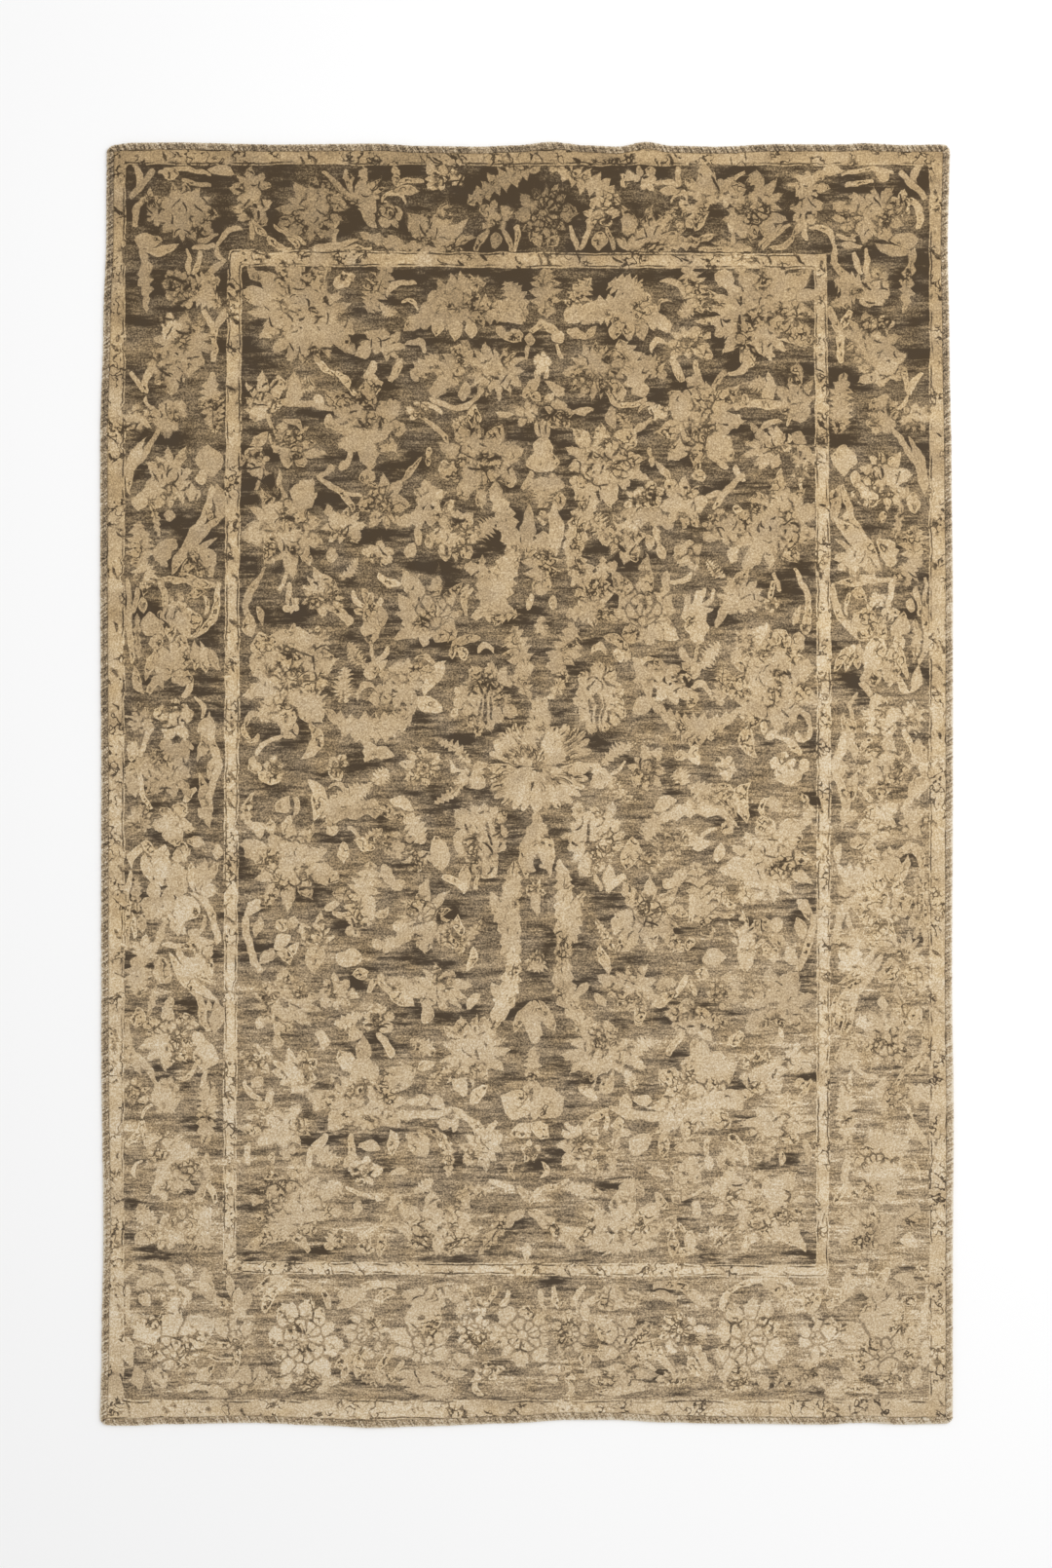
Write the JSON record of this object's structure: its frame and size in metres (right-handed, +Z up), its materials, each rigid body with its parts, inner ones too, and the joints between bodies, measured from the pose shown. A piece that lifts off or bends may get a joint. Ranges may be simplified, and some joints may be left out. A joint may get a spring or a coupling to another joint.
{
  "type": "afghan rug",
  "caption": "Flat rectangular floral pile rug, about two by three metres, with an overcast yarn edging along its sides and ends.",
  "frame": {"origin": "middle of the rug's box, on the surface that it lies on", "axes": "+Z up out of the pile, +Y along the length towards the top end of the pattern, +X across the width"},
  "size_m": [2.0069, 3.0229, 0.0114],
  "materials": {
    "pile": "short cut wool pile, tan flowers on a faded umber ground",
    "edging": "overcast wool yarn, mottled umber and tan"
  },
  "bodies": {
    "root": {"rug_pile": "pile", "edging_top": "edging", "edging_bottom": "edging", "edging_right": "edging", "edging_left": "edging"}
  },
  "joints": []
}
